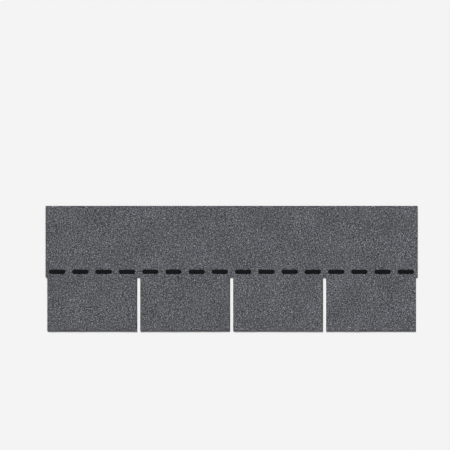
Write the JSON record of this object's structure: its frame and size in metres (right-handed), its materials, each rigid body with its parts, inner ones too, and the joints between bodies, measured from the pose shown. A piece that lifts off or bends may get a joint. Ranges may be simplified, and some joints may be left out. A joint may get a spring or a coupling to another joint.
{
  "type": "asphalt strip shingle",
  "caption": "Flat strip of granulated bitumen sheet with rectangular tabs parted by slots along its lower edge and a dashed self-sealing line, laid in courses as a roof covering.",
  "frame": {"origin": "under the middle of the sheet, on the surface that it lies on", "axes": "+X along the course, +Y up the roof slope from the tabs' butt edge towards the head, +Z out of the granule face"},
  "size_m": [1, 0.336, 0.0039],
  "materials": {
    "granulated_bitumen": "matte",
    "sealing_bitumen": "satin"
  },
  "bodies": {
    "root": {"shingle_sheet": "granulated_bitumen", "sealant_dashes": "sealing_bitumen"}
  },
  "joints": []
}
